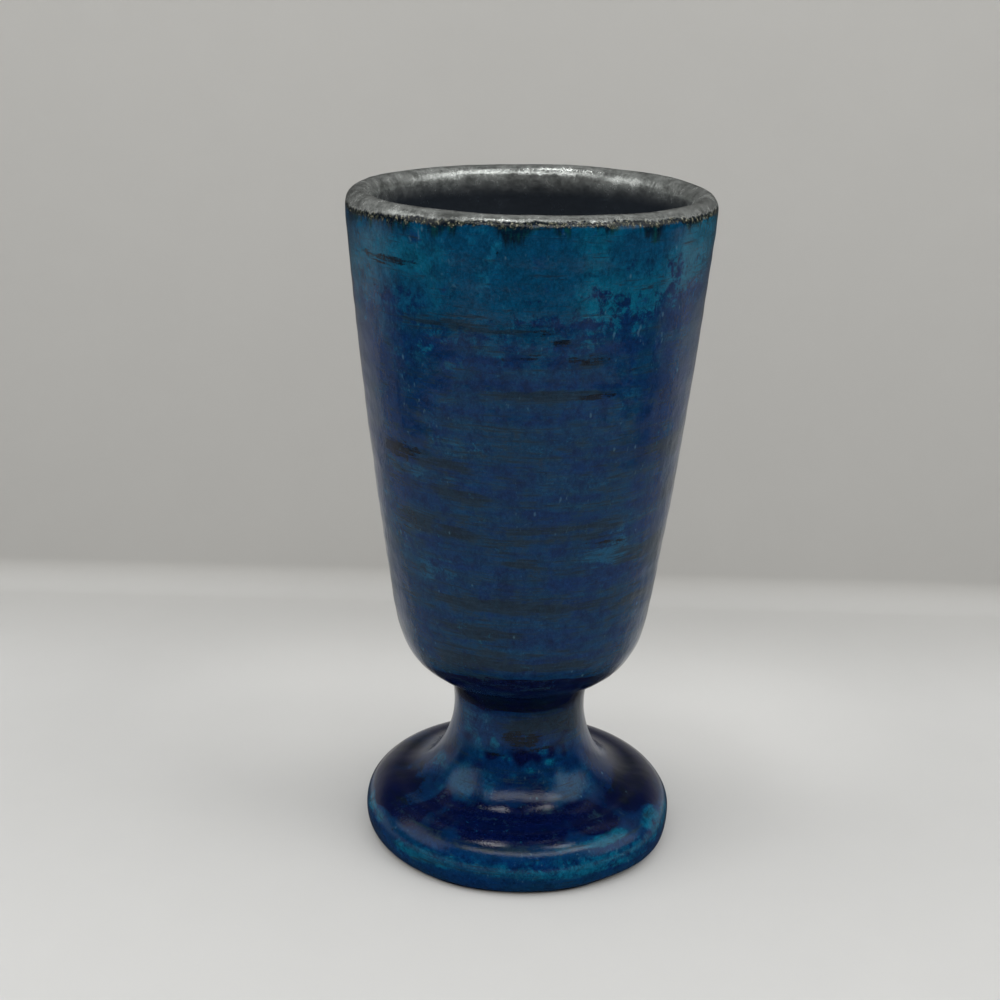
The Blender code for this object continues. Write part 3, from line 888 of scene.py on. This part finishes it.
def paper_material():
    """Pale paper, with painted light and shade. Reflections see it dimmer, with painted shade round the foot
    and painted light behind the vase and on the wall's right, and see where it ends; from behind it isn't
    seen at all.
    """
    t = Tree(bpy.data.materials.new("pale_paper"))
    path = t.node("LightPath", {}).outputs
    around = t.node("NewGeometry", {}).outputs
    place = t.node("SeparateXYZ", {0: around["Position"]}).outputs
    side = t.math("ABSOLUTE", place["X"])
    # Painted light on the paper behind the vase, and painted shade towards the fold.
    behind = t.times(t.step(place["Y"], *BEHIND_Y), t.step(side, *BEHIND_X))
    lying = t.mix(t.step(place["Y"], *TO_FOLD_Y), t.mix(behind, PAPER, PAPER_LIT_BEHIND), PAPER_SHADED_AT_FOLD)
    # The wall is darker low down and lighter higher up: painted shade.
    standing = t.mix(t.step(place["Z"], *WALL_Z), WALL_SHADED_LOW, WALL_HIGH)
    upright = t.step(place["Z"], 0.0, FOLD_RADIUS)
    colour = t.mix(upright, lying, standing)
    colour = t.mix(t.noise((60, 60, 60), 3), colour, t.mix(1.0, colour, PAPER_GRAIN, "MULTIPLY"))
    # The wall darkens towards its sides: painted shade.
    far = t.mix(t.step(side, *FAR_X), colour, t.mix(1.0, colour, PAPER_SHADED_FAR, "MULTIPLY"))
    colour = t.mix(upright, colour, far)
    beside = t.mix(t.step(place["Y"], *BEHIND_Y), GAP_BESIDE, BESIDE)
    # Reflections see painted light behind the vase, painted shade round the foot and painted light on the
    # wall's right.
    close = t.times(t.step(place["Y"], *CLOSE_Y), t.step(place["Y"], *CLOSE_END_Y))
    mirrored = t.mix(t.times(close, t.step(side, *CLOSE_X)), MIRRORED_PAPER, MIRRORED_LIT_BEHIND)
    mirrored = t.mix(t.step(side, *SIDES_X), mirrored, beside)
    mirrored = t.mix(t.step(place["Y"], *FRONT_Y), mirrored, IN_FRONT)
    from_axis = t.math("SQRT", t.add(t.times(place["X"], place["X"]), t.times(place["Y"], place["Y"])))
    mirrored = t.mix(t.step(from_axis, *CONTACT), mirrored, CONTACT_SHADE)
    wall = t.mix(t.step(place["Z"], *MIRRORED_WALL_Z), MIRRORED_WALL, MIRRORED_WALL_UP)
    top = t.mix(t.step(place["X"], *MIRRORED_RIGHT_X), MIRRORED_WALL_TOP, MIRRORED_WALL_LIT_RIGHT)
    wall = t.mix(t.step(place["Z"], *MIRRORED_TOP_Z), wall, top)
    mirrored = t.mix(upright, mirrored, wall)
    colour = t.mix(path["Is Glossy Ray"], colour, mirrored)
    t.shader(Base_Color=colour, Roughness=PAPER_ROUGHNESS)
    paper = t.out.inputs[0].links[0].from_socket
    hidden = t.times(path["Is Camera Ray"], around["Backfacing"])
    clear = t.node("BsdfTransparent", {}).outputs[0]
    t.set(t.out.inputs[0], t.node("MixShader", {0: hidden, 1: paper, 2: clear}).outputs[0])
    return t.owner


def sweep_stage():
    """A pale sheet that lies under the vase and curves up behind it."""
    line = [(SHEET_FRONT, 0.0), (SHEET_MIDDLE, 0.0), (0.0, 0.0)]
    for i in range(FOLD_STEPS + 1):
        a = math.pi / 2 * i / FOLD_STEPS
        line.append((FOLD - FOLD_RADIUS + FOLD_RADIUS * math.sin(a), FOLD_RADIUS - FOLD_RADIUS * math.cos(a)))
    line.append((FOLD + SHEET_LEAN, SHEET_TOP))
    verts = [(x, y, z) for y, z in line for x in (-SHEET_HALF, SHEET_HALF)]
    faces = [(2 * i, 2 * i + 1, 2 * i + 3, 2 * i + 2) for i in range(len(line) - 1)]
    mesh = bpy.data.meshes.new("sheet")
    mesh.from_pydata(verts, [], faces)
    mesh.shade_smooth()
    mesh.materials.append(paper_material())
    sheet = bpy.data.objects.new("sheet", mesh)
    bpy.context.scene.collection.objects.link(sheet)


def softbox(t, around, up, level, left, right, low, high):
    """Glow of a soft light between two azimuths and two heights, in degrees."""
    def rim(value, edge, blur):
        return t.step(value, math.radians(edge - blur), math.radians(edge + blur))

    sides = t.times(rim(around, left, SOFT_SIDES), rim(around, right, -SOFT_SIDES))
    ends = t.times(rim(up, low, SOFT_ENDS), rim(up, high, -SOFT_ENDS))
    return t.times(t.times(sides, ends), level)


def world_light():
    """A soft grey room with pale lights at the left, the right and above."""
    t = Tree(bpy.data.worlds.new("room"), "OutputWorld")
    bpy.context.scene.world = t.owner
    way = t.node("SeparateXYZ", {0: t.node("TexCoord", {}).outputs["Generated"]}).outputs
    around = t.math("ARCTAN2", way["X"], t.times(way["Y"], -1.0))
    up = t.math("ARCSINE", way["Z"])
    lights = softbox(t, around, up, *SOFTBOXES[0])
    for light in SOFTBOXES[1:]:
        lights = t.add(lights, softbox(t, around, up, *light))
    path = t.node("LightPath", {}).outputs
    sideways = t.add(t.times(t.math("ABSOLUTE", way["X"]), ROOM_SIDES), ROOM_MIDDLE)
    room = t.times(t.step(way["Z"], *ROOM_UP, ROOM_LOW_HIGH), sideways)
    room = t.blend(path["Is Glossy Ray"], room, ROOM_MIRRORED)
    glow = t.blend(path["Is Camera Ray"], t.add(room, lights), ROOM_SEEN)
    back = t.node("Background", {"Color": ROOM_TINT, "Strength": glow})
    t.set(t.out.inputs[0], back.outputs[0])


def camera():
    """The photograph's camera, fitted to the outline of the vase."""
    pitch, roll, yaw = math.radians(PITCH), math.radians(ROLL), math.radians(YAW)
    ahead = Vector((-math.sin(yaw) * math.cos(pitch), math.cos(yaw) * math.cos(pitch), -math.sin(pitch)))
    right = Vector((math.cos(yaw), math.sin(yaw), 0))
    up = right.cross(ahead)
    x = math.cos(roll) * right + math.sin(roll) * up
    y = math.cos(roll) * up - math.sin(roll) * right
    data = bpy.data.cameras.new("camera")
    data.sensor_width = SENSOR
    data.lens = SENSOR * FOCAL
    data.clip_start = NEAR
    made = bpy.data.objects.new("camera", data)
    turn = Matrix((x, y, -ahead)).transposed().to_4x4()
    made.matrix_world = Matrix.Translation(CAMERA_PLACE) @ turn
    bpy.context.scene.collection.objects.link(made)
    bpy.context.scene.camera = made


sweep_stage()
world_light()
camera()
bpy.context.scene.view_settings.view_transform = "Standard"
